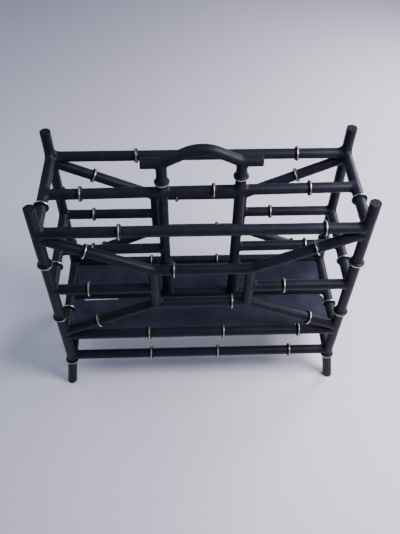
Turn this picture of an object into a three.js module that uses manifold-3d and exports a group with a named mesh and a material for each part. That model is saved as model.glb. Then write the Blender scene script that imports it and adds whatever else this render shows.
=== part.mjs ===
// Newspaper rack in the faux-bamboo style: round metal tubes with raised gold-edged knuckles,
// two latticed side panels, a divider with a carrying handle, and two sheet trays.
// Millimetres. +X runs along the rack, +Y from front to back, +Z up.
// The origin is on the floor, midway between the four feet.

import * as THREE from "three";
import { mergeVertices } from "three/addons/utils/BufferGeometryUtils.js";
import Module from "manifold-3d";

const wasm = await Module();
wasm.setup();

// ---------------------------------------------------------------- driving dimensions

const TUBE_DIAMETER = 15.9;
const KNUCKLE_DIAMETER = 22.6;
const KNUCKLE_WIDTH = 6;
const WELD_GAP = 0.3; // left between neighbouring pieces, where the real joint is brazed
const SIDES = 16; // facets round every tube and knuckle

const POST_X = 225; // corner post centre lines
const POST_Y = 79;

const FOOT_TOP_Z = 58;
const FOOT_FLARE = 9.3; // how far a foot kicks out along X, and along Y
const STRAIGHTER_FOOT = { name: "front_left", flareX: 7.7 }; // one foot kicks out less along X
const STRETCHER_Z = 71;
const END_STRETCHER_X = 222.7; // the end stretchers sit a little inside the posts' centre lines
const LOWER_RAIL_Z = 134;
const LOWER_BRACE_Z = 145; // where the lower braces meet the posts
const WINDOW_BOTTOM_Z = 218;
const MID_RAIL_Z = 256.5;
const WINDOW_TOP_Z = 297.5;
const UPPER_BRACE_Z = 371; // where the upper braces meet the posts
const TOP_RAIL_Z = 380.5;
const POST_TOP_Z = 427.5;
const WINDOW_X = 71.5; // centre lines of the window's two upright sides

const DIVIDER_POST_X = 56;
const DIVIDER_FOOT_Y = 3.2; // how far back the divider's lower rail lies
const DIVIDER_HEAD_Y = -0.8; // how far back its top rail lies at mid length
const DIVIDER_SKEW_Y = 3.6; // how far its top rail is out of line at each end
const HANDLE_Z = 434; // centre line of the handle's two straight ends
const HANDLE_END_X = 84.8;
const HANDLE_RISE = 21.4;
const HANDLE_ARCH_RADIUS = 52;
const HANDLE_BEND_RADIUS = 22;
const HANDLE_SLOPE = THREE.MathUtils.degToRad(27);
const HANDLE_STEPS = 32;

const PLUG_THICKNESS = 2.2;
const PLUG_DIAMETER = 14.6;
const PLUG_DIMPLE_DIAMETER = 3.4;
const PLUG_DIMPLE_DEPTH = 1.1;

const TRAY_THICKNESS = 1.5;
const TRAY_EDGE_GAP = 0.6; // between the trays and the rails round them
const TRAY_CORNER_RADIUS = 10;
const FRONT_TRAY_INNER_Y = -7.2; // the trays' long edges beside the divider's lower rail
const REAR_TRAY_INNER_Y = 12.1;
// Along one stretch the front tray's inner edge is cut back, deeper where the stretch starts.
const TRAY_RELIEF = { startX: -202, startDepth: 2.6, endX: -140, endDepth: 1.1, runIn: 1.2 };

// Where the knuckles sit: X along the level members and braces, Y along the end rails, Z up the posts.
// They were set out by eye, so no two tubes match exactly.
const PANEL_KNUCKLES = {
  front: {
    top_rail: [-114, 166.5],
    upper_brace: [-166, 162],
    window_top_bar: [-41.5],
    mid_bar: [-170, 124],
    window_bottom_bar: [47],
    lower_brace: [-162.5, 173.5],
    lower_rail: [-86, 37.5, 163],
    stretcher: [-86, 30, 155],
  },
  rear: {
    top_rail: [-96, 149],
    upper_brace: [-165, 154.5],
    window_top_bar: [-36],
    mid_bar: [-175, 120.5],
    window_bottom_bar: [32],
    lower_brace: [-165, 166],
    lower_rail: [-85, 35, 162],
    stretcher: [-86, 30, 155],
  },
};
const POST_KNUCKLES = {
  front_left: [FOOT_TOP_Z, 187.5, 316],
  front_right: [FOOT_TOP_Z, 186, 308.5],
  rear_left: [FOOT_TOP_Z, 186, 311],
  rear_right: [FOOT_TOP_Z, 186, 310],
};
const END_RAIL_KNUCKLES = {
  left: { top: -28.5, mid: -33, lower: -27, stretcher: -28 },
  right: { top: -23.5, mid: -32, lower: -27, stretcher: -28 },
};
const DIVIDER_TOP_KNUCKLES = [-173, 18, 157];
const DIVIDER_MID_KNUCKLES = { left: -170, right: 168 };
const DIVIDER_POST_KNUCKLES = { left: 218, right: 216 };
const HANDLE_POST_KNUCKLES = { left: 399.5, right: 407 };

// ---------------------------------------------------------------- materials

const LACQUER = { color: 0x15171f, roughness: 0.38, metalness: 0.0 };
const TRAY_LACQUER = { color: 0x12141b, roughness: 0.3, metalness: 0.0 };
const PLUG_LACQUER = { color: 0x101218, roughness: 0.5, metalness: 0.0 };

// ---------------------------------------------------------------- solids

const TUBE_RADIUS = TUBE_DIAMETER / 2;
const RUN_ON = TUBE_DIAMETER; // how far a rod is made over length where it will be cut
const TRIM_REACH = 40; // how far a trimming block reaches past the rod it cuts
const UP = new THREE.Vector3(0, 1, 0);

function point(x, y, z) {
  return new THREE.Vector3(x, y, z);
}

// A closed geometry as a solid that can be joined and cut.
function solid(geometry) {
  geometry.deleteAttribute("normal");
  geometry.deleteAttribute("uv");
  const merged = mergeVertices(geometry, 1e-4);
  return new wasm.Manifold(
    new wasm.Mesh({
      numProp: 3,
      vertProperties: merged.attributes.position.array,
      triVerts: new Uint32Array(merged.index.array),
    }),
  );
}

// Turns a geometry made along its own Y axis to point along a direction, and moves it to a place.
function aim(geometry, direction, place) {
  const turn = new THREE.Quaternion().setFromUnitVectors(UP, direction.clone().normalize());
  geometry.applyQuaternion(turn);
  geometry.translate(place.x, place.y, place.z);
  return geometry;
}

function rod(start, end, radius = TUBE_RADIUS) {
  const along = end.clone().sub(start);
  const geometry = new THREE.CylinderGeometry(radius, radius, along.length(), SIDES);
  return solid(aim(geometry, along, start.clone().add(end).divideScalar(2)));
}

function knuckle(place, direction, extra = 0) {
  const radius = KNUCKLE_DIAMETER / 2 + extra;
  const width = KNUCKLE_WIDTH + 2 * extra;
  return solid(aim(new THREE.CylinderGeometry(radius, radius, width, SIDES), direction, place));
}

function block(low, high) {
  const size = high.clone().sub(low);
  const centre = low.clone().add(high).divideScalar(2);
  const geometry = new THREE.BoxGeometry(size.x, size.y, size.z);
  return solid(geometry.translate(centre.x, centre.y, centre.z));
}

// A straight member: where it runs, and the knuckles along it as fractions of its length.
function member(name, start, end, knuckles = []) {
  return { name, start, end, knuckles };
}

function pointAlong(bar, fraction) {
  return bar.start.clone().lerp(bar.end, fraction);
}

// The point that lies past one end of a line by the run-on length.
function beyond(start, end) {
  return end.clone().add(end.clone().sub(start).setLength(RUN_ON));
}

// Members whose knuckles are given by a coordinate instead of a fraction.
function memberWithKnucklesAt(name, start, end, axis, places) {
  const fractions = places.map((v) => (v - start[axis]) / (end[axis] - start[axis]));
  return member(name, start, end, fractions);
}

function memberSolid(bar) {
  const direction = bar.end.clone().sub(bar.start);
  return bar.knuckles.reduce(
    (made, fraction) => made.add(knuckle(pointAlong(bar, fraction), direction)),
    rod(bar.start, bar.end),
  );
}

// The space a member needs round it, with its knuckles, for the pieces that are fitted to it.
function memberClearance(bar) {
  const direction = bar.end.clone().sub(bar.start);
  return bar.knuckles.reduce(
    (made, fraction) => made.add(knuckle(pointAlong(bar, fraction), direction, WELD_GAP)),
    rod(bar.start, bar.end, TUBE_RADIUS + WELD_GAP),
  );
}

function cut(shape, cutters) {
  return cutters.reduce((left, cutter) => left.subtract(cutter), shape);
}

// ---------------------------------------------------------------- the object

const rack = new THREE.Group();

function addPiece(name, shape, finish) {
  const mesh = shape.getMesh();
  const geometry = new THREE.BufferGeometry();
  geometry.setAttribute("position", new THREE.BufferAttribute(mesh.vertProperties, 3));
  geometry.setIndex(new THREE.BufferAttribute(mesh.triVerts, 1));
  geometry.computeVertexNormals();
  const piece = new THREE.Mesh(geometry, new THREE.MeshStandardMaterial(finish));
  piece.name = name;
  rack.add(piece);
}

// A member coped at both ends to the members it is brazed to.
function addCoped(bar, neighbours) {
  addPiece(bar.name, cut(memberSolid(bar), neighbours.map(memberClearance)), LACQUER);
}

const CORNERS = [
  { name: "front_left", x: -1, y: -1 },
  { name: "front_right", x: 1, y: -1 },
  { name: "rear_left", x: -1, y: 1 },
  { name: "rear_right", x: 1, y: 1 },
];
const ENDS = [
  { name: "left", x: -1 },
  { name: "right", x: 1 },
];

// ---- corner posts, their end plugs and their flared feet

function postMember(corner) {
  const x = corner.x * POST_X;
  const y = corner.y * POST_Y;
  const bottom = point(x, y, FOOT_TOP_Z - KNUCKLE_WIDTH / 2);
  const top = point(x, y, POST_TOP_Z - PLUG_THICKNESS - WELD_GAP);
  return memberWithKnucklesAt(`post_${corner.name}`, bottom, top, "z", POST_KNUCKLES[corner.name]);
}

const posts = Object.fromEntries(CORNERS.map((corner) => [corner.name, postMember(corner)]));

function addPlug(corner) {
  const x = corner.x * POST_X;
  const y = corner.y * POST_Y;
  const disc = rod(point(x, y, POST_TOP_Z - PLUG_THICKNESS), point(x, y, POST_TOP_Z), PLUG_DIAMETER / 2);
  const dimple = rod(
    point(x, y, POST_TOP_Z - PLUG_DIMPLE_DEPTH),
    point(x, y, POST_TOP_Z + PLUG_DIMPLE_DEPTH),
    PLUG_DIMPLE_DIAMETER / 2,
  );
  addPiece(`post_plug_${corner.name}`, disc.subtract(dimple), PLUG_LACQUER);
}

function addFoot(corner) {
  const x = corner.x * POST_X;
  const y = corner.y * POST_Y;
  const flareX = corner.name === STRAIGHTER_FOOT.name ? STRAIGHTER_FOOT.flareX : FOOT_FLARE;
  const top = point(x, y, FOOT_TOP_Z);
  const sole = point(x + corner.x * flareX, y + corner.y * FOOT_FLARE, 0);
  const above = block(
    point(x - TRIM_REACH, y - TRIM_REACH, FOOT_TOP_Z - KNUCKLE_WIDTH / 2 - WELD_GAP),
    point(x + TRIM_REACH, y + TRIM_REACH, FOOT_TOP_Z + TRIM_REACH),
  );
  const below = block(
    point(x - TRIM_REACH, y - TRIM_REACH, -TRIM_REACH),
    point(x + TRIM_REACH, y + TRIM_REACH, 0),
  );
  addPiece(`foot_${corner.name}`, cut(rod(top, beyond(top, sole)), [above, below]), LACQUER);
}

for (const corner of CORNERS) {
  addPiece(posts[corner.name].name, memberSolid(posts[corner.name]), LACQUER);
  addPlug(corner);
  addFoot(corner);
}

// ---- front and rear panels

// A level member of a panel, from one X to another.
function panelMember(panel, part, suffix, fromX, toX, z, places) {
  const start = point(fromX, panel.y, z);
  const end = point(toX, panel.y, z);
  return memberWithKnucklesAt(`${panel.name}_${part}${suffix}`, start, end, "x", places);
}

function makePanel(panel) {
  const at = PANEL_KNUCKLES[panel.name];
  const rail = (part, z) => panelMember(panel, part, "", -POST_X, POST_X, z, at[part]);
  const bar = (part, z) => panelMember(panel, part, "", -WINDOW_X, WINDOW_X, z, at[part]);
  const leftPost = posts[`${panel.name}_left`];
  const rightPost = posts[`${panel.name}_right`];

  const topRail = rail("top_rail", TOP_RAIL_Z);
  const lowerRail = rail("lower_rail", LOWER_RAIL_Z);
  const stretcher = rail("stretcher", STRETCHER_Z);
  for (const one of [topRail, lowerRail, stretcher]) addCoped(one, [leftPost, rightPost]);

  const windowTop = bar("window_top_bar", WINDOW_TOP_Z);
  const windowBottom = bar("window_bottom_bar", WINDOW_BOTTOM_Z);
  addCoped(windowTop, []);
  addCoped(windowBottom, []);

  ENDS.forEach((end, index) => {
    const post = index === 0 ? leftPost : rightPost;
    const braces = [
      ["upper_brace", UPPER_BRACE_Z, WINDOW_TOP_Z],
      ["lower_brace", LOWER_BRACE_Z, WINDOW_BOTTOM_Z],
    ].map(([part, postZ, cornerZ]) => {
      const outer = point(end.x * POST_X, panel.y, postZ);
      const inner = point(end.x * WINDOW_X, panel.y, cornerZ);
      const name = `${panel.name}_${part}_${end.name}`;
      return memberWithKnucklesAt(name, outer, inner, "x", [at[part][index]]);
    });
    braces.forEach((brace) => addBrace(brace, end, panel, [post, topRail, lowerRail]));

    const side = member(
      `${panel.name}_window_side_${end.name}`,
      point(end.x * WINDOW_X, panel.y, WINDOW_BOTTOM_Z),
      point(end.x * WINDOW_X, panel.y, WINDOW_TOP_Z),
    );
    addPiece(
      side.name,
      cut(memberSolid(side), [...braces, windowTop, windowBottom].map(runOnClearance)),
      LACQUER,
    );

    const midBar = panelMember(
      panel,
      "mid_bar",
      `_${end.name}`,
      end.x * POST_X,
      end.x * WINDOW_X,
      MID_RAIL_Z,
      [at.mid_bar[index]],
    );
    addCoped(midBar, [post, side]);
  });
  return { topRail, lowerRail };
}

// A brace is mitred to the window's bar at the corner where both end.
function addBrace(brace, end, panel, neighbours) {
  const mitreX = end.x * (WINDOW_X + WELD_GAP);
  const farX = mitreX - end.x * TRIM_REACH;
  const keepOut = block(
    point(Math.min(mitreX, farX), panel.y - TRIM_REACH, brace.end.z - TRIM_REACH),
    point(Math.max(mitreX, farX), panel.y + TRIM_REACH, brace.end.z + TRIM_REACH),
  );
  const whole = memberSolid(brace).add(rod(brace.end, beyond(brace.start, brace.end)));
  addPiece(brace.name, cut(whole, [keepOut, ...neighbours.map(memberClearance)]), LACQUER);
}

// A member's clearance, run on past both ends.
function runOnClearance(bar) {
  return rod(beyond(bar.end, bar.start), beyond(bar.start, bar.end), TUBE_RADIUS + WELD_GAP);
}

const panels = {
  front: makePanel({ name: "front", y: -POST_Y }),
  rear: makePanel({ name: "rear", y: POST_Y }),
};

// ---- end rails, front to back

const END_LEVELS = {
  top: { part: "top_rail", x: POST_X, z: TOP_RAIL_Z },
  mid: { part: "mid_rail", x: POST_X, z: MID_RAIL_Z },
  lower: { part: "lower_rail", x: POST_X, z: LOWER_RAIL_Z },
  stretcher: { part: "stretcher", x: END_STRETCHER_X, z: STRETCHER_Z },
};

function endRail(end, level) {
  const { part, z } = END_LEVELS[level];
  const x = end.x * END_LEVELS[level].x;
  const places = [END_RAIL_KNUCKLES[end.name][level]];
  const name = `end_${part}_${end.name}`;
  return memberWithKnucklesAt(name, point(x, -POST_Y, z), point(x, POST_Y, z), "y", places);
}

const endRails = {};
for (const end of ENDS) {
  for (const level of Object.keys(END_LEVELS)) {
    const rail = endRail(end, level);
    const z = END_LEVELS[level].z;
    const sides = [-POST_Y, POST_Y].map((y) => member("side", point(-POST_X, y, z), point(POST_X, y, z)));
    addCoped(rail, [posts[`front_${end.name}`], posts[`rear_${end.name}`], ...sides]);
    endRails[`${level}_${end.name}`] = rail;
  }
}

// ---- divider: rails, posts and mid bars near the middle plane

// A point of the divider. It is square at its lower rail, and leans and turns askew towards its top rail.
function dividerPoint(x, z) {
  const height = Math.min(1, (z - LOWER_RAIL_Z) / (TOP_RAIL_Z - LOWER_RAIL_Z));
  const lean = THREE.MathUtils.lerp(DIVIDER_FOOT_Y, DIVIDER_HEAD_Y, height);
  return point(x, lean + DIVIDER_SKEW_Y * (x / POST_X) * height, z);
}

function dividerRail(name, z, places) {
  return memberWithKnucklesAt(name, dividerPoint(-POST_X, z), dividerPoint(POST_X, z), "x", places);
}

const dividerTop = dividerRail("divider_top_rail", TOP_RAIL_Z, DIVIDER_TOP_KNUCKLES);
const dividerLower = dividerRail("divider_lower_rail", LOWER_RAIL_Z, []);
addCoped(dividerTop, [endRails.top_left, endRails.top_right]);
addCoped(dividerLower, [endRails.lower_left, endRails.lower_right]);

// ---- handle: one bent tube, carried on two short posts

// The handle's centre line, in line with the divider: straight end, bend, slope, arch, and back down.
class HandleLine extends THREE.Curve {
  constructor() {
    super();
    const bendX = HANDLE_BEND_RADIUS * Math.sin(HANDLE_SLOPE);
    const archX = HANDLE_ARCH_RADIUS * Math.sin(HANDLE_SLOPE);
    const bendRise = HANDLE_BEND_RADIUS * (1 - Math.cos(HANDLE_SLOPE));
    const archRise = HANDLE_ARCH_RADIUS * (1 - Math.cos(HANDLE_SLOPE));
    const slopeX = (HANDLE_RISE - bendRise - archRise) / Math.tan(HANDLE_SLOPE);
    const startX = archX + slopeX + bendX;
    const down = -Math.PI / 2;
    const top = Math.PI / 2;
    const bendCentreZ = HANDLE_Z + HANDLE_BEND_RADIUS;
    const archCentreZ = HANDLE_Z + HANDLE_RISE - HANDLE_ARCH_RADIUS;
    this.path = new THREE.Path();
    this.path.moveTo(-HANDLE_END_X, HANDLE_Z);
    this.path.lineTo(-startX, HANDLE_Z);
    this.path.absarc(-startX, bendCentreZ, HANDLE_BEND_RADIUS, down, down + HANDLE_SLOPE, false);
    this.path.absarc(0, archCentreZ, HANDLE_ARCH_RADIUS, top + HANDLE_SLOPE, top - HANDLE_SLOPE, true);
    this.path.absarc(startX, bendCentreZ, HANDLE_BEND_RADIUS, down - HANDLE_SLOPE, down, false);
    this.path.lineTo(HANDLE_END_X, HANDLE_Z);
  }
  getPoint(t, target = new THREE.Vector3()) {
    const at = this.path.getPoint(t);
    return target.copy(dividerPoint(at.x, at.y));
  }
}

function handleSolid(radius) {
  const section = new THREE.Shape().absarc(0, 0, radius, 0, 2 * Math.PI);
  const options = {
    steps: HANDLE_STEPS,
    curveSegments: SIDES / 2, // a full circle gets twice this many
    extrudePath: new HandleLine(),
    bevelEnabled: false,
  };
  return solid(new THREE.ExtrudeGeometry(section, options));
}

addPiece("carry_handle", handleSolid(TUBE_RADIUS), LACQUER);
const handleClearance = handleSolid(TUBE_RADIUS + WELD_GAP);

for (const end of ENDS) {
  const x = end.x * DIVIDER_POST_X;
  const lower = memberWithKnucklesAt(
    `divider_post_${end.name}`,
    dividerPoint(x, LOWER_RAIL_Z),
    dividerPoint(x, TOP_RAIL_Z),
    "z",
    [DIVIDER_POST_KNUCKLES[end.name]],
  );
  addCoped(lower, [dividerLower, dividerTop]);

  const upper = memberWithKnucklesAt(
    `handle_post_${end.name}`,
    dividerPoint(x, TOP_RAIL_Z),
    dividerPoint(x, HANDLE_Z),
    "z",
    [HANDLE_POST_KNUCKLES[end.name]],
  );
  addPiece(upper.name, cut(memberSolid(upper), [memberClearance(dividerTop), handleClearance]), LACQUER);

  const midBar = memberWithKnucklesAt(
    `divider_mid_bar_${end.name}`,
    dividerPoint(end.x * POST_X, MID_RAIL_Z),
    dividerPoint(x, MID_RAIL_Z),
    "x",
    [DIVIDER_MID_KNUCKLES[end.name]],
  );
  addCoped(midBar, [endRails[`mid_${end.name}`], lower]);
}

// ---- trays: flat sheets let in between the lower rails

function trayOutline(sideY, innerY, relief) {
  const x = POST_X - TUBE_RADIUS - TRAY_EDGE_GAP;
  const r = TRAY_CORNER_RADIUS;
  const inward = Math.sign(sideY - innerY); // away from the divider
  const outline = new THREE.Shape();
  outline.moveTo(-x + r, innerY);
  if (relief) {
    outline.lineTo(relief.startX, innerY);
    outline.lineTo(relief.startX + relief.runIn, innerY + inward * relief.startDepth);
    outline.lineTo(relief.endX - relief.runIn, innerY + inward * relief.endDepth);
    outline.lineTo(relief.endX, innerY);
  }
  outline.lineTo(x - r, innerY);
  outline.quadraticCurveTo(x, innerY, x, innerY + inward * r);
  outline.lineTo(x, sideY - inward * r);
  outline.quadraticCurveTo(x, sideY, x - r, sideY);
  outline.lineTo(-x + r, sideY);
  outline.quadraticCurveTo(-x, sideY, -x, sideY - inward * r);
  outline.lineTo(-x, innerY + inward * r);
  outline.quadraticCurveTo(-x, innerY, -x + r, innerY);
  return outline;
}

function addTray(name, direction, innerY, relief, railNeighbours) {
  const sideY = direction * (POST_Y - TUBE_RADIUS - TRAY_EDGE_GAP);
  const options = { depth: TRAY_THICKNESS, bevelEnabled: false, curveSegments: 5 };
  const sheet = new THREE.ExtrudeGeometry(trayOutline(sideY, innerY, relief), options);
  sheet.translate(0, 0, LOWER_RAIL_Z - TRAY_THICKNESS / 2);
  addPiece(name, cut(solid(sheet), railNeighbours.map(memberClearance)), TRAY_LACQUER);
}

const endLower = [endRails.lower_left, endRails.lower_right];
addTray("front_tray", -1, FRONT_TRAY_INNER_Y, TRAY_RELIEF, [panels.front.lowerRail, ...endLower]);
addTray("rear_tray", 1, REAR_TRAY_INNER_Y, null, [panels.rear.lowerRail, ...endLower]);

export default rack;
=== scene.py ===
"""A faux-bamboo newspaper rack: lacquered tube with brazed joints and gold-crested knuckles.

Every length is in metres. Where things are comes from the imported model: each tube's centre line
and the place of each knuckle are read from its CAD node.
"""

import math

import bpy
import numpy as np
from mathutils import Matrix, Vector


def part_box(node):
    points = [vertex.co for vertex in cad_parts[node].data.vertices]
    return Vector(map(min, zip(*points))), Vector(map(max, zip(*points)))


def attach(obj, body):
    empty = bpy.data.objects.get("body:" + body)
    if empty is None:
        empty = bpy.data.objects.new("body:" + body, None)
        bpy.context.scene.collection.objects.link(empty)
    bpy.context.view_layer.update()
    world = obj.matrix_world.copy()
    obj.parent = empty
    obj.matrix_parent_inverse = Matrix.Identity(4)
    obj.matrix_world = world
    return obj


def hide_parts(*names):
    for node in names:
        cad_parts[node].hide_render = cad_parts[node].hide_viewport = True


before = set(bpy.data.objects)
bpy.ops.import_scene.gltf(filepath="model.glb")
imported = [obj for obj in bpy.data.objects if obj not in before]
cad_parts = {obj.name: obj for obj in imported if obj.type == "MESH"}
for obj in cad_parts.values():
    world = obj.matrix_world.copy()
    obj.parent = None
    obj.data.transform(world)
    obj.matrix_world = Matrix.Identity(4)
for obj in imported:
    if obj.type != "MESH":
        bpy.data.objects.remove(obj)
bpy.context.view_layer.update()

# ---------------------------------------------------------------- sizes

MM = 0.001
SIDES = 48  # points round a tube
STEP = 8 * MM  # between rings along a straight tube
EDGE_ROUND = 0.7 * MM  # on cut tube ends
EDGE_STEPS = 5  # rings that round such an end

FILLET = 4.4 * MM  # how far the brazing reaches from the corner along each tube
POST_FILLET = 7.5 * MM  # where the top rails meet the posts
FILLET_STEPS = 10  # rings across a fillet
FILLET_PULL = 0.62  # how far a fillet's curve is drawn in towards its corner
FILLET_SLANT = 0.75  # how much a fillet shrinks where two surfaces meet at a slant
FILLET_TUCK = 0.35 * MM  # how deep a fillet's edge goes into the neighbour
LEAST_SLANT = 0.002  # square of the smallest sine between two surfaces that a fillet allows for
SETTLE = 9 * MM  # length of tube over which the columns of points straighten up beyond a fillet
SETTLE_SHARES = (1.0, 0.66, 0.33)
TAIL = 2.5 * MM  # how far a tube runs on inside its neighbour
TAIL_NARROWING = 0.7
SEEK_SAMPLES = 260  # places tried along a tube for its contact with a neighbour
SEEK_REACH = 5  # tube radii, back from the tube's end, over which they are spread
CORNER_BEND = 7 * MM  # length of tube that turns at each side of a window corner
CORNER_STEPS = 6  # rings along that length
BRACE_MIDDLE = (0.2, 0.8)  # the part of a brace, along x, in which its knuckle lies

KNUCKLE_SIDES = 64  # points round a knuckle
KNUCKLE_STEPS = 19  # rings over its crown
KNUCKLE_HALF = 2.9 * MM
KNUCKLE_SHAPE = 2.6  # how square its crown is along the tube: 2 is an ellipse
KNUCKLE_FULLNESS = 2.2  # and in height
KNUCKLE_FOOT = 0.8 * MM  # how far its foot spreads onto the tube
KNUCKLE_FOOT_RISE = 0.12 * MM
KNUCKLE_FOOT_TUCK = 0.1 * MM
KNUCKLE_ROOT = 1.0 * MM  # how deep it goes into the tube
KNUCKLE_APART = 8 * MM  # points further apart along a tube belong to different knuckles

GOLD_HALF = 0.88 * MM
GOLD_PROUD = 0.05 * MM  # thickness of the paint
GOLD_STEPS = 9  # rings across the band of paint
GOLD_WAVER = 0.22  # how much the band's edges wander, as a share of its width
GOLD_EDGE_TUCK = 0.03 * MM  # how deep its edges go into the knuckle
GOLD_ROOT = 0.35 * MM  # and how deep the rest of it
GOLD_ROOT_NARROWING = 0.9
WAVES = ((2, 1), (3, 2), (7, 3), (11, 5))  # waves round an edge, and what each makes of the seed
WAVE_PHASE = 0.73
SECOND_EDGE = 5  # added to the seed for the band's other edge

ARCH_RADIUS = 52 * MM
BEND_RADIUS = 22 * MM
HANDLE_SLOPE = math.radians(27)
HANDLE_END_STEPS = 6
BEND_STEPS = 9
ARCH_STEPS = 13

LIP = 1.2 * MM  # thickness of the rolled lip on a post's top
LIP_STEPS = 9
PLUG_SET_BACK = 0.7 * MM
PLUG_OVERLAP = 0.1 * MM  # into the lip
PLUG_STEPS = 14
PLUG_CENTRE = 0.02 * MM  # radius of its innermost ring
PLUG_SHOULDER = 0.5 * MM  # from the end of its dome to its edge
PLUG_DOME = 0.45 * MM
DIMPLE_RADIUS = 1.8 * MM
DIMPLE_DEPTH = 1.0 * MM
DIMPLE_SHAPE = 0.8
PLUG_RIM = ((0.1 * MM, 0.15 * MM), (0.4 * MM, 0.0), (1.6 * MM, 0.0))  # depths, and distances in

FOOT_OVERLAP = 3 * MM  # up into the post
FOOT_STEPS = 7

TRAY_EASE = 0.4 * MM  # width of the bevel on a tray's edges
TRAY_EASE_STEPS = 2
TRAY_EDGE_ANGLE = math.radians(40)


def spans(node):
    low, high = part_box(node)
    return high - low


def middle(node):
    low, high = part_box(node)
    return (low + high) / 2


TUBE = spans("divider_lower_rail").z / 2
KNUCKLE = spans("front_top_rail").z / 2


# ---------------------------------------------------------------- reading the frame


def vertices_of(node):
    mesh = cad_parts[node].data
    points = np.zeros(len(mesh.vertices) * 3)
    mesh.vertices.foreach_get("co", points)
    return points.reshape(-1, 3)


def knuckle_places(node, start, end):
    """Centres of the knuckles on a node whose centre line runs from start to end."""
    start, end = np.array(start), np.array(end)
    direction = (end - start) / np.linalg.norm(end - start)
    offset = vertices_of(node) - start
    along = offset @ direction
    out = np.linalg.norm(offset - np.outer(along, direction), axis=1)
    places = np.sort(along[out > (TUBE + KNUCKLE) / 2])
    if not len(places):
        return []
    groups = np.split(places, np.where(np.diff(places) > KNUCKLE_APART)[0] + 1)
    return [start + direction * (g[0] + g[-1]) / 2 for g in groups]


def brace_line(node, corner, post_x):
    """A brace's centre line: from the post, through its knuckle, to the window's corner."""
    points = vertices_of(node)
    low, high = points[:, 0].min(), points[:, 0].max()
    share = (points[:, 0] - low) / (high - low)
    on_knuckle = (share > BRACE_MIDDLE[0]) & (share < BRACE_MIDDLE[1])
    knuckle = points[on_knuckle].mean(axis=0)
    corner = np.array(corner)
    slope = (knuckle - corner) / (knuckle[0] - corner[0])
    return corner + slope * (post_x - corner[0]), corner


# ---------------------------------------------------------------- geometry


def unit(v):
    return np.asarray(v, float) / np.linalg.norm(v)


def cross_axes(direction):
    """Two unit vectors square to a direction and to each other."""
    helper = np.array([0.0, 1.0, 0.0]) if abs(direction[1]) < 0.9 else np.array([0.0, 0.0, 1.0])
    first = unit(np.cross(direction, helper))
    return first, np.cross(direction, first)


def circle_directions(direction, count=SIDES):
    first, second = cross_axes(direction)
    turn = np.linspace(0, 2 * math.pi, count, endpoint=False)
    return np.outer(np.cos(turn), first) + np.outer(np.sin(turn), second)


def nearest_on_lines(points, lines):
    """For each point, its distance to the nearest centre line, and the place nearest it there."""
    best = np.full(points.shape[:-1], np.inf)
    foot = np.zeros_like(points)
    for line in lines:
        for a, b in zip(line[:-1], line[1:]):
            span = b - a
            t = np.clip(((points - a) @ span) / (span @ span), 0, 1)
            at = a + t[..., None] * span
            d = np.linalg.norm(points - at, axis=-1)
            closer = d < best
            best = np.where(closer, d, best)
            foot = np.where(closer[..., None], at, foot)
    return best, foot


def seek(origin, direction, outward, reach, lines):
    """How far from origin each of the lines along a tube's surface first touches a neighbour."""
    s = np.linspace(reach[0], reach[1], SEEK_SAMPLES)
    base = origin + outward * TUBE
    points = base[:, None, :] + s[None, :, None] * direction
    gap = nearest_on_lines(points, lines)[0] - TUBE
    inside = gap <= 0
    hit = inside.any(axis=1)
    first = np.where(hit, inside.argmax(axis=1), gap.argmin(axis=1))
    before = np.maximum(first - 1, 0)
    rows = np.arange(len(outward))
    g0, g1 = gap[rows, before], gap[rows, first]
    tiny = 1e-12
    share = np.where(hit & (g0 > 0) & (g0 - g1 > tiny), g0 / np.maximum(g0 - g1, tiny), 1.0)
    return s[before] + share * (s[first] - s[before])


def blended(values, passes):
    """Values round a ring, each averaged with its neighbours as many times as asked."""
    for _ in range(passes):
        values = (np.roll(values, 1, axis=0) + 2 * values + np.roll(values, -1, axis=0)) / 4
    return values


def on_own_surface(points, origin, direction):
    """Points moved square to a tube's centre line until they lie on it, and the way out there."""
    along = (points - origin) @ direction
    out = points - origin - np.outer(along, direction)
    out /= np.linalg.norm(out, axis=1, keepdims=True)
    return origin + np.outer(along, direction) + out * TUBE, out


def on_neighbour_surface(points, lines):
    """Points moved onto the nearest of the neighbours, and the way out there."""
    foot = nearest_on_lines(points, lines)[1]
    out = points - foot
    out /= np.linalg.norm(out, axis=1, keepdims=True)
    return foot + out * TUBE, out


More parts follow.
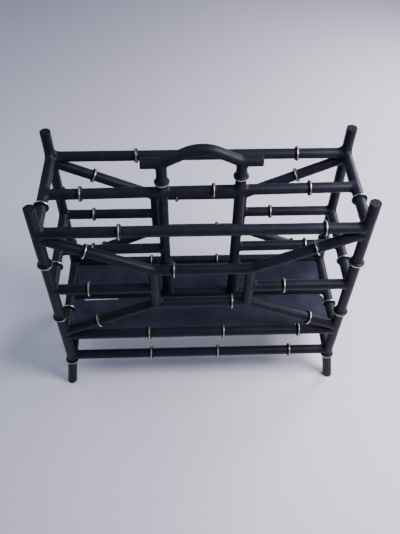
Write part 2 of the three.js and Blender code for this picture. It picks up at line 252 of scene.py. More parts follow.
def coped_rings(origin, direction, length, lines, fillet):
    """Rings from the plain tube over a brazed fillet onto its neighbours, and on inside them."""
    outward = circle_directions(direction)
    reach = (max(0.0, length - SEEK_REACH * TUBE), length)
    contact = seek(origin, direction, outward, reach, lines)
    corner = origin + outward * TUBE + contact[:, None] * direction
    normal = on_neighbour_surface(corner, lines)[1]
    facing = (normal * outward).sum(axis=1, keepdims=True)
    slant = np.sqrt(np.clip(1 - facing**2, LEAST_SLANT, 1))
    size = blended(fillet * slant**FILLET_SLANT, passes=2)
    up_own = blended((normal - facing * outward) / slant * size, passes=3)
    up_other = blended((outward - facing * normal) / slant * size, passes=1)
    first, first_out = on_own_surface(corner + up_own, origin, direction)
    last, last_out = on_neighbour_surface(corner + up_other, lines)
    lead_in = corner - first
    lead_in -= (lead_in * first_out).sum(axis=1, keepdims=True) * first_out
    lead_out = corner - last
    lead_out -= (lead_out * last_out).sum(axis=1, keepdims=True) * last_out
    second, third = first + FILLET_PULL * lead_in, last + FILLET_PULL * lead_out
    rings = []
    foot = (first - origin) @ direction
    for share in SETTLE_SHARES:
        lean = 1 - share * share * (3 - 2 * share)
        around = outward + (first_out - outward) * lean
        around /= np.linalg.norm(around, axis=1, keepdims=True)
        rings.append(origin + around * TUBE + (foot - SETTLE * share)[:, None] * direction)
    for t in np.linspace(0, 1, FILLET_STEPS):
        a, b, c, d = (1 - t) ** 3, 3 * t * (1 - t) ** 2, 3 * t * t * (1 - t), t**3
        rings.append(a * first + b * second + c * third + d * last)
    rings.append(last - last_out * FILLET_TUCK)
    inner = np.minimum(contact + TAIL, length)
    rings.append(origin + outward * (TAIL_NARROWING * TUBE) + inner[:, None] * direction)
    return rings


def rim_profile():
    """The rounded rim of a cut end: each ring's distance in from the tube, and from the cut."""
    turns = np.linspace(0, math.pi / 2, EDGE_STEPS)
    return [(EDGE_ROUND * (1 - math.cos(t)), EDGE_ROUND * (1 - math.sin(t))) for t in turns]


def flat_rings(origin, direction, length):
    """Rings that round the rim of a tube's square-cut end."""
    outward = circle_directions(direction)
    return [
        origin + outward * (TUBE - inset) + (length - short) * direction
        for inset, short in rim_profile()
    ]


def level_rings(origin, direction, floor_z):
    """Rings that round the rim of a tube's end where it is cut level to stand on the floor."""
    outward = circle_directions(direction)
    rings = []
    for inset, short in rim_profile():
        base = origin + outward * (TUBE - inset)
        s = (floor_z + short - base[:, 2]) / direction[2]
        rings.append(base + s[:, None] * direction)
    return rings


def bend_points(corner, arriving, leaving):
    """The arriving tube's half of a window corner's bend: points, and the directions there."""
    t = np.linspace(0, 0.5, CORNER_STEPS)[:, None]
    a = corner - arriving * CORNER_BEND
    c = corner + leaving * CORNER_BEND
    points = (1 - t) ** 2 * a + 2 * t * (1 - t) * corner + t**2 * c
    tangents = (1 - t) * (corner - a) + t * (c - corner)
    return points, tangents / np.linalg.norm(tangents, axis=1, keepdims=True)


def swept_rings(places, tangents, outward):
    """Rings round a bent centre line. outward holds the ring's directions at the line's start."""
    rings = []
    before = Vector(tangents[0])
    for place, tangent in zip(places, tangents):
        turn = np.array(before.rotation_difference(Vector(tangent)).to_matrix())
        outward = outward @ turn.T
        rings.append(place + outward * TUBE)
        before = Vector(tangent)
    return rings


def plain_rings(origin, direction, before, after):
    """Rings along a straight tube, between the ring before and the ring after."""
    outward = circle_directions(direction)
    first = (np.array(before) - origin) @ direction
    last = (np.array(after) - origin) @ direction
    steps = max(2, round((last.mean() - first.mean()) / STEP))
    return [
        origin + outward * TUBE + (first + (last - first) * share)[:, None] * direction
        for share in np.linspace(0, 1, steps + 1)[1:-1]
    ]


def mesh_from_rings(name, rings, close_loop=False, sharp_ends=()):
    """A closed mesh through rings of points, with a fan over each end, or joined end to end."""
    grid = np.array(rings)
    count, sides = grid.shape[0], grid.shape[1]
    verts = [tuple(p) for p in grid.reshape(-1, 3)]
    faces = []
    last = count if close_loop else count - 1
    for i in range(last):
        k = (i + 1) % count
        for j in range(sides):
            n = (j + 1) % sides
            faces.append((i * sides + j, i * sides + n, k * sides + n, k * sides + j))
    if not close_loop:
        for ring in (0, count - 1):
            hub = len(verts)
            verts.append(tuple(grid[ring].mean(axis=0)))
            for j in range(sides):
                n = (j + 1) % sides
                edge = (ring * sides + n, ring * sides + j)
                faces.append((*edge, hub) if ring == 0 else (*edge[::-1], hub))
    mesh = bpy.data.meshes.new(name)
    mesh.from_pydata(verts, [], faces)
    mesh.validate()
    mesh.update()
    mesh.polygons.foreach_set("use_smooth", [True] * len(mesh.polygons))
    sharp = {ring % count for ring in sharp_ends}
    if sharp:
        rows = [(min(e.vertices) // sides, max(e.vertices) // sides) for e in mesh.edges]
        marks = [low == high and low in sharp for low, high in rows]
        mesh.attributes.new("sharp_edge", "BOOLEAN", "EDGE").data.foreach_set("value", marks)
    return mesh


def outward_facing(mesh):
    """Turns the mesh inside out if it encloses a negative volume."""
    mesh.calc_loop_triangles()
    points = np.zeros(len(mesh.vertices) * 3)
    mesh.vertices.foreach_get("co", points)
    points = points.reshape(-1, 3)
    corners = np.zeros(len(mesh.loop_triangles) * 3, int)
    mesh.loop_triangles.foreach_get("vertices", corners)
    a, b, c = (points[corners.reshape(-1, 3)[:, i]] for i in range(3))
    if np.einsum("ij,ij->i", a, np.cross(b, c)).sum() < 0:
        mesh.flip_normals()
    return mesh


def add_piece(name, mesh, material, slot, *replaced):
    piece = bpy.data.objects.new(name, outward_facing(mesh))
    bpy.context.scene.collection.objects.link(piece)
    mesh.materials.append(material)
    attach(piece, "root")
    if replaced:
        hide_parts(*replaced)
    return piece


# ---------------------------------------------------------------- materials

# noise patterns: features per metre, detail, roughness
LACQUER_TONE = (38, 4, 0.6)
DUST_SPECKS = (900, 6, 0.75)
DUSTY_PLACES = (26, 3, 0.6)
RUBBED_PLACES = (60, 5, 0.65)
ORANGE_PEEL = (620, 2, 0.4)
SAGS = (95, 2, 0.5)
GOLD_TONE = (260, 4, 0.6)
GOLD_THIN_PLACES = (520, 5, 0.7)
GOLD_POLISH = (400, 3, 0.6)
GOLD_GRAIN = (1500, 3, 0.6)
FLOOR_TONE = (1.1, 2, 0.5)

DUST_COLOUR = (0.055, 0.056, 0.068)
DUST_COVER = 0.4
DUST_DULLING = 0.3
RUBBED_GLOSSIER = 0.07
RUBBED_DULLER = 0.09
ORANGE_PEEL_HEIGHT = 0.07 * MM
SAG_HEIGHT = 0.22 * MM
LACQUER_SPECULAR = 0.14
COAT_ROUGHNESS = 0.3

GOLD_DARK = (0.49, 0.465, 0.37)
GOLD_LIGHT = (0.76, 0.735, 0.63)
GOLD_WORN = (0.08, 0.07, 0.055)
GOLD_WEAR = 0.75
GOLD_ROUGHNESS = (0.28, 0.42)
GOLD_GRAIN_HEIGHT = 0.05 * MM

FLOOR_DARK = (0.745, 0.715, 0.86)
FLOOR_LIGHT = (0.80, 0.770, 0.905)
FLOOR_ROUGHNESS = 0.6
FLOOR_SPECULAR = 0.25


class Nodes:
    """A material's node tree, with short calls for the nodes that the finishes share."""

    def __init__(self, name):
        self.material = bpy.data.materials.new(name)
        self.material.use_nodes = True
        self.tree = self.material.node_tree
        self.shader = self.tree.nodes["Principled BSDF"]
        self.place = self.tree.nodes.new("ShaderNodeNewGeometry").outputs["Position"]

    def link(self, a, b):
        self.tree.links.new(a, b)

    def noise(self, scale, detail, roughness):
        node = self.tree.nodes.new("ShaderNodeTexNoise")
        node.inputs["Scale"].default_value = scale
        node.inputs["Detail"].default_value = detail
        node.inputs["Roughness"].default_value = roughness
        self.link(self.place, node.inputs["Vector"])
        return node.outputs["Fac"]

    def remap(self, value, low, high, to_low=0, to_high=1):
        node = self.tree.nodes.new("ShaderNodeMapRange")
        node.inputs["From Min"].default_value = low
        node.inputs["From Max"].default_value = high
        node.inputs["To Min"].default_value = to_low
        node.inputs["To Max"].default_value = to_high
        self.link(value, node.inputs["Value"])
        return node.outputs["Result"]

    def mix(self, share, a, b):
        node = self.tree.nodes.new("ShaderNodeMix")
        node.data_type = "RGBA"
        self.link(share, node.inputs["Factor"])
        colour_a, colour_b, colour_out = node.inputs[6], node.inputs[7], node.outputs[2]
        for socket, value in ((colour_a, a), (colour_b, b)):
            if isinstance(value, tuple):
                socket.default_value = (*value, 1)
            else:
                self.link(value, socket)
        return colour_out

    def maths(self, operation, a, b):
        node = self.tree.nodes.new("ShaderNodeMath")
        node.operation = operation
        for socket, value in zip(node.inputs, (a, b)):
            if isinstance(value, (int, float)):
                socket.default_value = value
            else:
                self.link(value, socket)
        return node.outputs[0]

    def bump(self, height, distance, below=None):
        node = self.tree.nodes.new("ShaderNodeBump")
        node.inputs["Distance"].default_value = distance
        node.inputs["Strength"].default_value = 1.0
        self.link(height, node.inputs["Height"])
        if below is not None:
            self.link(below, node.inputs["Normal"])
        return node.outputs["Normal"]


def lacquer(name, dark, light, roughness, coat):
    """Blue-black lacquer: an uneven tone, rubbed and dusty patches, orange peel and slight sags."""
    n = Nodes(name)
    tone = n.remap(n.noise(*LACQUER_TONE), 0.35, 0.65)
    colour = n.mix(tone, dark, light)
    dust = n.remap(n.noise(*DUST_SPECKS), 0.62, 0.74, 0, DUST_COVER)
    dust = n.maths("MULTIPLY", dust, n.remap(n.noise(*DUSTY_PLACES), 0.5, 0.7))
    colour = n.mix(dust, colour, DUST_COLOUR)
    n.link(colour, n.shader.inputs["Base Color"])
    glossiest, dullest = roughness - RUBBED_GLOSSIER, roughness + RUBBED_DULLER
    rubbed = n.remap(n.noise(*RUBBED_PLACES), 0.3, 0.7, glossiest, dullest)
    dulled = n.maths("MULTIPLY", dust, DUST_DULLING)
    n.link(n.maths("ADD", rubbed, dulled), n.shader.inputs["Roughness"])
    peel = n.bump(n.noise(*ORANGE_PEEL), ORANGE_PEEL_HEIGHT)
    sag = n.bump(n.noise(*SAGS), SAG_HEIGHT, below=peel)
    n.link(sag, n.shader.inputs["Normal"])
    n.shader.inputs["Coat Weight"].default_value = coat
    n.shader.inputs["Coat Roughness"].default_value = COAT_ROUGHNESS
    n.shader.inputs["Specular IOR Level"].default_value = LACQUER_SPECULAR
    return n.material


def gold_paint():
    """Pale gold paint put on by hand: an uneven tone, a fine grain, and thin dark places."""
    n = Nodes("gold_paint")
    tone = n.remap(n.noise(*GOLD_TONE), 0.35, 0.65)
    colour = n.mix(tone, GOLD_DARK, GOLD_LIGHT)
    thin = n.remap(n.noise(*GOLD_THIN_PLACES), 0.60, 0.70, 0, GOLD_WEAR)
    colour = n.mix(thin, colour, GOLD_WORN)
    n.link(colour, n.shader.inputs["Base Color"])
    polish = n.remap(n.noise(*GOLD_POLISH), 0.3, 0.7, *GOLD_ROUGHNESS)
    n.link(polish, n.shader.inputs["Roughness"])
    n.link(n.bump(n.noise(*GOLD_GRAIN), GOLD_GRAIN_HEIGHT), n.shader.inputs["Normal"])
    n.shader.inputs["Metallic"].default_value = 1.0
    return n.material


def studio_floor():
    n = Nodes("studio_floor")
    tone = n.remap(n.noise(*FLOOR_TONE), 0.3, 0.7)
    n.link(n.mix(tone, FLOOR_DARK, FLOOR_LIGHT), n.shader.inputs["Base Color"])
    n.shader.inputs["Roughness"].default_value = FLOOR_ROUGHNESS
    n.shader.inputs["Specular IOR Level"].default_value = FLOOR_SPECULAR
    return n.material


FRAME_LACQUER = lacquer(
    "frame_lacquer",
    dark=(0.0078, 0.0083, 0.0155),
    light=(0.0128, 0.0134, 0.0240),
    roughness=0.45,
    coat=0.03,
)
# Knuckles: the frame's blue-black lacquer painted darker, as painted shade on the rings.
KNUCKLE_LACQUER_PAINTED_SHADE = lacquer(
    "knuckle_lacquer",
    dark=(0.0045, 0.0048, 0.0088),
    light=(0.0075, 0.0080, 0.0138),
    roughness=0.45,
    coat=0.03,
)
PLUG_LACQUER = lacquer(
    "plug_lacquer",
    dark=(0.0070, 0.0075, 0.0130),
    light=(0.0110, 0.0118, 0.0190),
    roughness=0.58,
    coat=0.0,
)
# Trays: the frame's blue-black lacquer painted lighter, as painted light on the upward-facing
# sheets.
TRAY_LACQUER_PAINTED_LIGHT = lacquer(
    "tray_lacquer",
    dark=(0.0190, 0.0205, 0.0370),
    light=(0.0290, 0.0312, 0.0540),
    roughness=0.44,
    coat=0.05,
)
GOLD_PAINT = gold_paint()


# ---------------------------------------------------------------- tubes

paths = {}  # every tube's centre line, for the tubes brazed to it


def add_tube(node, rings, sharp_ends=()):
    """A smooth tube that stands for its CAD node."""
    mesh = mesh_from_rings(f"{node}_tube", rings, sharp_ends=sharp_ends)
    add_piece(f"{node}_tube", mesh, FRAME_LACQUER, "frame_lacquer", node)


def turned_round(rings):
    """Puts each ring's points in the order that circle_directions has for the other direction."""
    order = (SIDES // 2 - np.arange(SIDES)) % SIDES
    return [np.array(ring)[order] for ring in rings]


def end_at(origin, towards, length, neighbours, fillet=FILLET):
    """Coped rings for the end of a tube that runs from origin, towards its joint, over length."""
    return coped_rings(origin, towards, length, [paths[n] for n in neighbours], fillet)


def coped_tube(node, start, end, start_neighbours, end_neighbours, fillet=FILLET):
    """A straight tube brazed into neighbours at both ends, with its knuckles."""
    paths[node] = [start, end]
    direction = unit(end - start)
    half = np.linalg.norm(end - start) / 2
    centre = (start + end) / 2
    at_end = end_at(centre, direction, half, end_neighbours, fillet)
    at_start = turned_round(end_at(centre, -direction, half, start_neighbours, fillet))
    between = plain_rings(start, direction, at_start[0], at_end[0])
    add_tube(node, [*at_start[::-1], *between, *at_end])
    add_knuckles(node, start, end)


def add_knuckles(node, start, end):
    """The rings on a node whose centre line runs from start to end, each with its painted crest."""
    direction = unit(end - start)
    for number, place in enumerate(knuckle_places(node, start, end), 1):
        name = f"{node}_knuckle_{number}"
        seed = sum(ord(c) for c in name)
        ring = knuckle_mesh(name, place, direction)
        # The ring's body is painted darker than the frame: painted shade.
        add_piece(name, ring, KNUCKLE_LACQUER_PAINTED_SHADE, "frame_lacquer")
        crest = crest_mesh(f"{name}_gold", place, direction, seed)
        add_piece(f"{name}_gold", crest, GOLD_PAINT, "gold_paint")


def knuckle_height(along):
    """A knuckle's height above its tube, at a distance along from its middle."""
    share = min(abs(along) / KNUCKLE_HALF, 1.0)
    return (KNUCKLE - TUBE) * (1 - share**KNUCKLE_SHAPE) ** (1 / KNUCKLE_FULLNESS)


def lathe_rings(place, direction, profile, count):
    """Rings round a place, one for each (distance along, radius) of a profile.

    A distance or a radius may be a list, with a value for each point of its ring.
    """
    outward = circle_directions(direction, count)
    rings = []
    for along, radius in profile:
        size = np.broadcast_to(radius, count)[:, None]
        move = np.broadcast_to(along, count)[:, None]
        rings.append(place + outward * size + move * direction)
    return rings


def knuckle_mesh(name, place, direction):
    turns = np.linspace(-math.pi / 2, math.pi / 2, KNUCKLE_STEPS)
    across = [KNUCKLE_HALF * math.sin(turn) for turn in turns]
    crown = [(along, TUBE + knuckle_height(along)) for along in across]
    profile = [
        (-KNUCKLE_HALF - KNUCKLE_FOOT, TUBE - KNUCKLE_FOOT_TUCK),
        (-KNUCKLE_HALF - KNUCKLE_FOOT / 3, TUBE + KNUCKLE_FOOT_RISE),
        *crown[1:-1],
        (KNUCKLE_HALF + KNUCKLE_FOOT / 3, TUBE + KNUCKLE_FOOT_RISE),
        (KNUCKLE_HALF + KNUCKLE_FOOT, TUBE - KNUCKLE_FOOT_TUCK),
        (KNUCKLE_HALF, TUBE - KNUCKLE_ROOT),
        (-KNUCKLE_HALF, TUBE - KNUCKLE_ROOT),
    ]
    rings = lathe_rings(place, direction, profile, KNUCKLE_SIDES)
    return mesh_from_rings(name, rings, close_loop=True)


def waver(seed):
    """A smooth, closed, irregular curve round a ring, of strength GOLD_WAVER about zero."""
    turn = np.linspace(0, 2 * math.pi, KNUCKLE_SIDES, endpoint=False)
    curves = []
    for waves, factor in WAVES:
        phase = (seed * factor * WAVE_PHASE) % (2 * math.pi)
        curves.append(np.sin(waves * turn + phase) / waves**0.5)
    return GOLD_WAVER * sum(curves) / 2


def crest_mesh(name, place, direction, seed):
    """The coat of paint on a knuckle's crest: a thin closed band whose edges wander a little."""
    left = -GOLD_HALF * (1 + waver(seed))
    right = GOLD_HALF * (1 + waver(seed + SECOND_EDGE))
    outer, inner = [], []
    for share in np.linspace(0, 1, GOLD_STEPS):
        along = left + (right - left) * share
        height = np.array([TUBE + knuckle_height(a) for a in along])
        at_edge = share in (0, 1)
        thickness = -GOLD_EDGE_TUCK if at_edge else GOLD_PROUD * math.sin(math.pi * share) ** 0.5
        outer.append((along, height + thickness))
        inner.append((along * GOLD_ROOT_NARROWING, height - GOLD_ROOT))
    rings = lathe_rings(place, direction, outer + inner[::-1], KNUCKLE_SIDES)
    return mesh_from_rings(name, rings, close_loop=True)


# ---------------------------------------------------------------- the frame's lines

SIDES_OF_RACK = ("left", "right")
PANELS = ("front", "rear")


def point(x, y, z):
    return np.array([x, y, z], float)


def post_axis(corner):
    node = f"post_{corner}"
    low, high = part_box(node)
    at = middle(node)
    return point(at.x, at.y, low.z), point(at.x, at.y, high.z)


posts = {f"{panel}_{end}": post_axis(f"{panel}_{end}") for panel in PANELS for end in SIDES_OF_RACK}
for corner, (bottom, top) in posts.items():
    paths[f"post_{corner}"] = [bottom, top]


def post_x(panel, end):
    return posts[f"{panel}_{end}"][0][0]


def post_y(panel):
    return posts[f"{panel}_left"][0][1]


def level_line(node, panel):
    z = middle(node).z
    y = post_y(panel)
    return point(post_x(panel, "left"), y, z), point(post_x(panel, "right"), y, z)


def make_rails(panel):
    """The three members that run the whole length of a side panel."""
    for part, fillet in (("top_rail", POST_FILLET), ("lower_rail", FILLET), ("stretcher", FILLET)):
        node = f"{panel}_{part}"
        start, end = level_line(node, panel)
        coped_tube(node, start, end, [f"post_{panel}_left"], [f"post_{panel}_right"], fillet)


def make_window(panel):
    """The window's bars and sides, and the braces that run from its corners to the posts."""
    y = post_y(panel)
    corner_x = {end: middle(f"{panel}_window_side_{end}").x for end in SIDES_OF_RACK}
    for part, bar in (("upper_brace", "window_top_bar"), ("lower_brace", "window_bottom_bar")):
        bar_z = middle(f"{panel}_{bar}").z
        corners = {end: point(corner_x[end], y, bar_z) for end in SIDES_OF_RACK}
        lines = {
            end: brace_line(f"{panel}_{part}_{end}", corners[end], post_x(panel, end))
            for end in SIDES_OF_RACK
        }
        bar_direction = unit(corners["right"] - corners["left"])
        make_window_bar(f"{panel}_{bar}", corners, lines, bar_direction)
        for end in SIDES_OF_RACK:
            leaving = -bar_direction if end == "right" else bar_direction
            make_brace(panel, part, end, lines[end], leaving)
    for end in SIDES_OF_RACK:
        node = f"{panel}_window_side_{end}"
        low = point(corner_x[end], y, middle(f"{panel}_window_bottom_bar").z)
        high = point(corner_x[end], y, middle(f"{panel}_window_top_bar").z)
        below = [f"{panel}_window_bottom_bar", f"{panel}_lower_brace_{end}"]
        above = [f"{panel}_window_top_bar", f"{panel}_upper_brace_{end}"]
        coped_tube(node, low, high, below, above)


def make_window_bar(node, corners, lines, direction):
    """A window's level bar, whose two ends bend into the braces."""
    outward = circle_directions(direction)
    places, bends = {}, {}
    for end, arriving in (("left", -direction), ("right", direction)):
        leaving = unit(lines[end][0] - corners[end])
        places[end], tangents = bend_points(corners[end], arriving, leaving)
        bends[end] = swept_rings(places[end], tangents, outward)
    paths[node] = [*places["left"][::-1], *places["right"]]
    between = plain_rings(places["left"][0], direction, bends["left"][0], bends["right"][0])
    add_tube(node, [*bends["left"][::-1], *between, *bends["right"]], sharp_ends=(0, -1))
    add_knuckles(node, corners["left"], corners["right"])


def make_brace(panel, part, end, line, leaving):
    """A brace: coped to the post and the rail beside it, and bent into the window's bar."""
    node = f"{panel}_{part}_{end}"
    outer, corner = line
    direction = unit(corner - outer)
    places, tangents = bend_points(corner, direction, leaving)
    paths[node] = [outer, *places]
    bend = swept_rings(places, tangents, circle_directions(direction))
    rail = f"{panel}_top_rail" if part == "upper_brace" else f"{panel}_lower_rail"
    half = np.linalg.norm(corner - outer) / 2
    coped = end_at((outer + corner) / 2, -direction, half, [f"post_{panel}_{end}", rail])
    coped = turned_round(coped)
    between = plain_rings(outer, direction, coped[0], bend[0])
    add_tube(node, [*coped[::-1], *between, *bend], sharp_ends=(-1,))
    add_knuckles(node, outer, corner)


def make_mid_bars(panel):
    for end in SIDES_OF_RACK:
        node = f"{panel}_mid_bar_{end}"
        z = middle(node).z
        start = point(post_x(panel, end), post_y(panel), z)
        inner = point(middle(f"{panel}_window_side_{end}").x, post_y(panel), z)
        coped_tube(node, start, inner, [f"post_{panel}_{end}"], [f"{panel}_window_side_{end}"])


# each end rail's level member in the side panels, and its fillet
END_RAILS = {
    "top_rail": ("top_rail", POST_FILLET),
    "mid_rail": ("mid_bar", FILLET),
    "lower_rail": ("lower_rail", FILLET),
    "stretcher": ("stretcher", FILLET),
}


def make_end_rails():
    """The rails that run front to back between the posts."""
    for part, (beside, fillet) in END_RAILS.items():
        for end in SIDES_OF_RACK:
            node = f"end_{part}_{end}"
            at = middle(node)
            start, finish = (point(at.x, post_y(panel), at.z) for panel in PANELS)
            suffix = f"_{end}" if beside == "mid_bar" else ""
            near = [[f"post_{panel}_{end}", f"{panel}_{beside}{suffix}"] for panel in PANELS]
            coped_tube(node, start, finish, *near, fillet)


HANDLE_SIZE = spans("carry_handle")
DIVIDER_SKEW = (HANDLE_SIZE.y - 2 * TUBE) / HANDLE_SIZE.x
DIVIDER_FOOT_Y = middle("divider_lower_rail").y
DIVIDER_HEAD_Y = middle("carry_handle").y


def divider_point(x, z):
    """A point of the divider, which leans and turns askew from its lower to its top rail."""
    low, high = middle("divider_lower_rail").z, middle("divider_top_rail").z
    height = min(1.0, (z - low) / (high - low))
    lean = DIVIDER_FOOT_Y + (DIVIDER_HEAD_Y - DIVIDER_FOOT_Y) * height
    return point(x, lean + DIVIDER_SKEW * x * height, z)


def handle_line():
    """The handle's centre line, from end to end over its arch, as points and directions."""
    low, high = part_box("carry_handle")
    z = low.z + TUBE
    rise = high.z - TUBE - z
    bend_x = BEND_RADIUS * math.sin(HANDLE_SLOPE)
    arch_x = ARCH_RADIUS * math.sin(HANDLE_SLOPE)
    bend_rise = BEND_RADIUS * (1 - math.cos(HANDLE_SLOPE))
    arch_rise = ARCH_RADIUS * (1 - math.cos(HANDLE_SLOPE))
    slope_x = (rise - bend_rise - arch_rise) / math.tan(HANDLE_SLOPE)
    start_x = arch_x + slope_x + bend_x
    left = [(x, z, 0.0) for x in np.linspace(low.x, -start_x, HANDLE_END_STEPS)[:-1]]
    for turn in np.linspace(0, HANDLE_SLOPE, BEND_STEPS):
        x = -start_x + BEND_RADIUS * math.sin(turn)
        left.append((x, z + BEND_RADIUS * (1 - math.cos(turn)), turn))
    for turn in np.linspace(HANDLE_SLOPE, 0, ARCH_STEPS):
        x = -ARCH_RADIUS * math.sin(turn)
        left.append((x, z + rise - ARCH_RADIUS * (1 - math.cos(turn)), turn))
    right = [(-x, z, -turn) for x, z, turn in left[-2::-1]]
    places, runs = [], []
    for x, z, turn in left + right:
        places.append(divider_point(x, z))
        runs.append(unit(point(math.cos(turn), DIVIDER_SKEW * math.cos(turn), math.sin(turn))))
    return places, runs


def make_handle():
    places, runs = handle_line()
    paths["carry_handle"] = places
    bent = swept_rings(places[1:-1], runs[1:-1], circle_directions(runs[0]))
    left = flat_rings(places[1], -runs[0], np.linalg.norm(places[1] - places[0]))
    right = flat_rings(places[-2], runs[-1], np.linalg.norm(places[-1] - places[-2]))
    add_tube("carry_handle", [*turned_round(left)[::-1], *bent, *right], sharp_ends=(0, -1))


def make_divider():
    """The frame between the compartments, up to the handle's posts."""
    top_z, lower_z = middle("divider_top_rail").z, middle("divider_lower_rail").z
    mid_z = middle("divider_mid_bar_left").z
    handle_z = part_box("carry_handle")[0].z + TUBE
    for level, z in (("top", top_z), ("lower", lower_z)):
        start, end = (divider_point(post_x("front", side), z) for side in SIDES_OF_RACK)
        near = [[f"end_{level}_rail_{side}"] for side in SIDES_OF_RACK]
        coped_tube(f"divider_{level}_rail", start, end, *near)
    for side in SIDES_OF_RACK:
        post = f"divider_post_{side}"
        x = middle(post).x
        lower, top = divider_point(x, lower_z), divider_point(x, top_z)
        coped_tube(post, lower, top, ["divider_lower_rail"], ["divider_top_rail"])
        handle_end = divider_point(x, handle_z)
        coped_tube(f"handle_post_{side}", top, handle_end, ["divider_top_rail"], ["carry_handle"])
        outer, inner = divider_point(post_x("front", side), mid_z), divider_point(x, mid_z)
        coped_tube(f"divider_mid_bar_{side}", outer, inner, [f"end_mid_rail_{side}"], [post])


def make_post(corner):
    """A corner post: its top has a rolled lip round the end plug."""
    node = f"post_{corner}"
    bottom = posts[corner][0]
    crown = point(bottom[0], bottom[1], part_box(f"post_plug_{corner}")[1].z)
    up = point(0, 0, 1)
    levels = np.arange(bottom[2], crown[2] - 2 * EDGE_ROUND, STEP)
    profile = [(z - crown[2], TUBE) for z in levels]
    rim = LIP / 2
    for turn in np.linspace(0, math.pi, LIP_STEPS):
        profile.append((rim * math.sin(turn) - rim, TUBE - rim + rim * math.cos(turn)))
    profile.append((-2 * LIP, TUBE - LIP))
    add_tube(node, lathe_rings(crown, up, profile, SIDES))
    add_knuckles(node, bottom, crown)


def make_plug(corner):
    """The disc in the top of a post, a little domed, with a dimple in its middle."""
    node = f"post_plug_{corner}"
    at = middle(node)
    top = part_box(node)[1].z - PLUG_SET_BACK
    radius = TUBE - LIP + PLUG_OVERLAP
    profile = []
    for r in np.linspace(PLUG_CENTRE, radius - PLUG_SHOULDER, PLUG_STEPS):
        dome = PLUG_DOME * (1 - (r / radius) ** 2)
        dip = DIMPLE_DEPTH * max(0.0, 1 - (r / DIMPLE_RADIUS) ** 2) ** DIMPLE_SHAPE
        profile.append((dome - dip, r))
    profile += [(-depth, radius - inset) for depth, inset in PLUG_RIM]
    rings = lathe_rings(point(at.x, at.y, top), point(0, 0, 1), profile, SIDES)
    mesh = mesh_from_rings(f"{node}_disc", rings)
    add_piece(f"{node}_disc", mesh, PLUG_LACQUER, "plug_lacquer", node)


def make_foot(corner):
    """The kicked-out foot below a post's lowest knuckle, cut level at the floor."""
    node = f"foot_{corner}"
    low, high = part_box(node)
    post_bottom = posts[corner][0]
    sole_x = low.x + TUBE if post_bottom[0] < 0 else high.x - TUBE
    sole_y = low.y + TUBE if post_bottom[1] < 0 else high.y - TUBE
    top = post_bottom + point(0, 0, FOOT_OVERLAP)
    direction = unit(point(sole_x, sole_y, low.z) - top)
    sole = level_rings(top, direction, low.z)
    ring = top + circle_directions(direction) * TUBE
    length = (sole[0] - top) @ direction
    shares = np.linspace(0, 1, FOOT_STEPS)[:-1]
    down_to_sole = [ring + (length * share)[:, None] * direction for share in shares]
    add_tube(node, [*down_to_sole, *sole], sharp_ends=(0,))


def make_tray(node):
    """A sheet tray: the CAD outline, with its edges eased."""
    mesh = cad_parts[node].data.copy()
    mesh.name = f"{node}_sheet"
    mesh.materials.clear()
    # The sheet's lacquer is painted lighter than the frame's: painted light.
    tray = add_piece(f"{node}_sheet", mesh, TRAY_LACQUER_PAINTED_LIGHT, "tray_lacquer", node)
    ease = tray.modifiers.new("eased_edges", "BEVEL")
    ease.width = TRAY_EASE
    ease.segments = TRAY_EASE_STEPS
    ease.limit_method = "ANGLE"
    ease.angle_limit = TRAY_EDGE_ANGLE


for panel in PANELS:
    make_rails(panel)
    make_window(panel)
    make_mid_bars(panel)
make_end_rails()
make_handle()
make_divider()
for corner in posts:
    make_post(corner)
    make_plug(corner)
    make_foot(corner)
for tray in ("front_tray", "rear_tray"):
    make_tray(tray)


# ---------------------------------------------------------------- floor, light and camera

FLOOR_HALF = 6.0

KEY_COLOUR = (1.0, 0.975, 0.985)
SKY_COLOUR = (0.58, 0.70, 0.94, 1)
SKY_STRENGTH = 0.26

CAMERA_PLACE = (-0.0303, -0.6306, 0.9689)
CAMERA_YAW = math.radians(-2.77)
CAMERA_PITCH = math.radians(-50.32)
CAMERA_ROLL = math.radians(1.03)
CAMERA_LENS = 40.11  # mm
CAMERA_SENSOR = 36  # mm


def add_floor():
    h = FLOOR_HALF
    mesh = bpy.data.meshes.new("studio_floor")
    mesh.from_pydata([(-h, -h, 0), (h, -h, 0), (h, h, 0), (-h, h, 0)], [], [(0, 1, 2, 3)])
    floor = bpy.data.objects.new("studio_floor", mesh)
    bpy.context.scene.collection.objects.link(floor)
    mesh.materials.append(studio_floor())


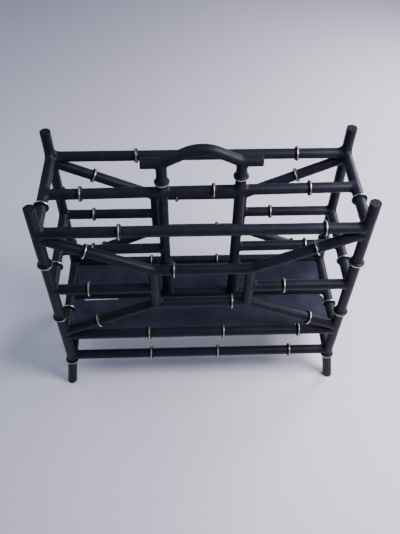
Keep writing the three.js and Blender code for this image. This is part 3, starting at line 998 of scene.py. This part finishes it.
def add_light(name, place, target, size, power, colour):
    """A round area light that faces the target."""
    data = bpy.data.lights.new(name, "AREA")
    data.shape = "DISK"
    data.size = size
    data.energy = power
    data.color = colour
    light = bpy.data.objects.new(name, data)
    light.location = place
    light.rotation_euler = (Vector(target) - Vector(place)).to_track_quat("-Z", "Y").to_euler()
    bpy.context.scene.collection.objects.link(light)


def add_camera():
    """The camera stands in front of the rack and a little to its left, looking down at it."""
    ahead = math.cos(CAMERA_PITCH)
    forward_x = -math.sin(CAMERA_YAW) * ahead
    forward_y = math.cos(CAMERA_YAW) * ahead
    forward = Vector((forward_x, forward_y, math.sin(CAMERA_PITCH)))
    level = Vector((math.cos(CAMERA_YAW), math.sin(CAMERA_YAW), 0))
    upright = level.cross(forward)
    right = math.cos(CAMERA_ROLL) * level + math.sin(CAMERA_ROLL) * upright
    up = math.cos(CAMERA_ROLL) * upright - math.sin(CAMERA_ROLL) * level
    data = bpy.data.cameras.new("camera")
    data.sensor_width = CAMERA_SENSOR
    data.lens = CAMERA_LENS
    camera = bpy.data.objects.new("camera", data)
    turn = Matrix((right, up, -forward)).transposed().to_4x4()
    camera.matrix_world = Matrix.Translation(CAMERA_PLACE) @ turn
    bpy.context.scene.collection.objects.link(camera)
    bpy.context.scene.camera = camera


def add_world():
    world = bpy.data.worlds.new("studio_air")
    world.use_nodes = True
    background = world.node_tree.nodes["Background"]
    background.inputs["Color"].default_value = SKY_COLOUR
    background.inputs["Strength"].default_value = SKY_STRENGTH
    bpy.context.scene.world = world


add_floor()
add_light(
    "front_key",
    place=(0.55, -0.19, 0.82),
    target=(0.08, -0.10, 0.0),
    size=0.45,
    power=11.5,
    colour=KEY_COLOUR,
)
add_light(
    "rear_key",
    place=(0.92, 0.72, 0.68),
    target=(0.05, 0.30, 0.0),
    size=0.6,
    power=12.5,
    colour=KEY_COLOUR,
)
add_light(
    "fill",
    place=(-0.7, 0.1, 0.9),
    target=(0, 0.05, 0.1),
    size=0.8,
    power=2.4,
    colour=(0.75, 0.87, 1.0),
)
add_world()
add_camera()
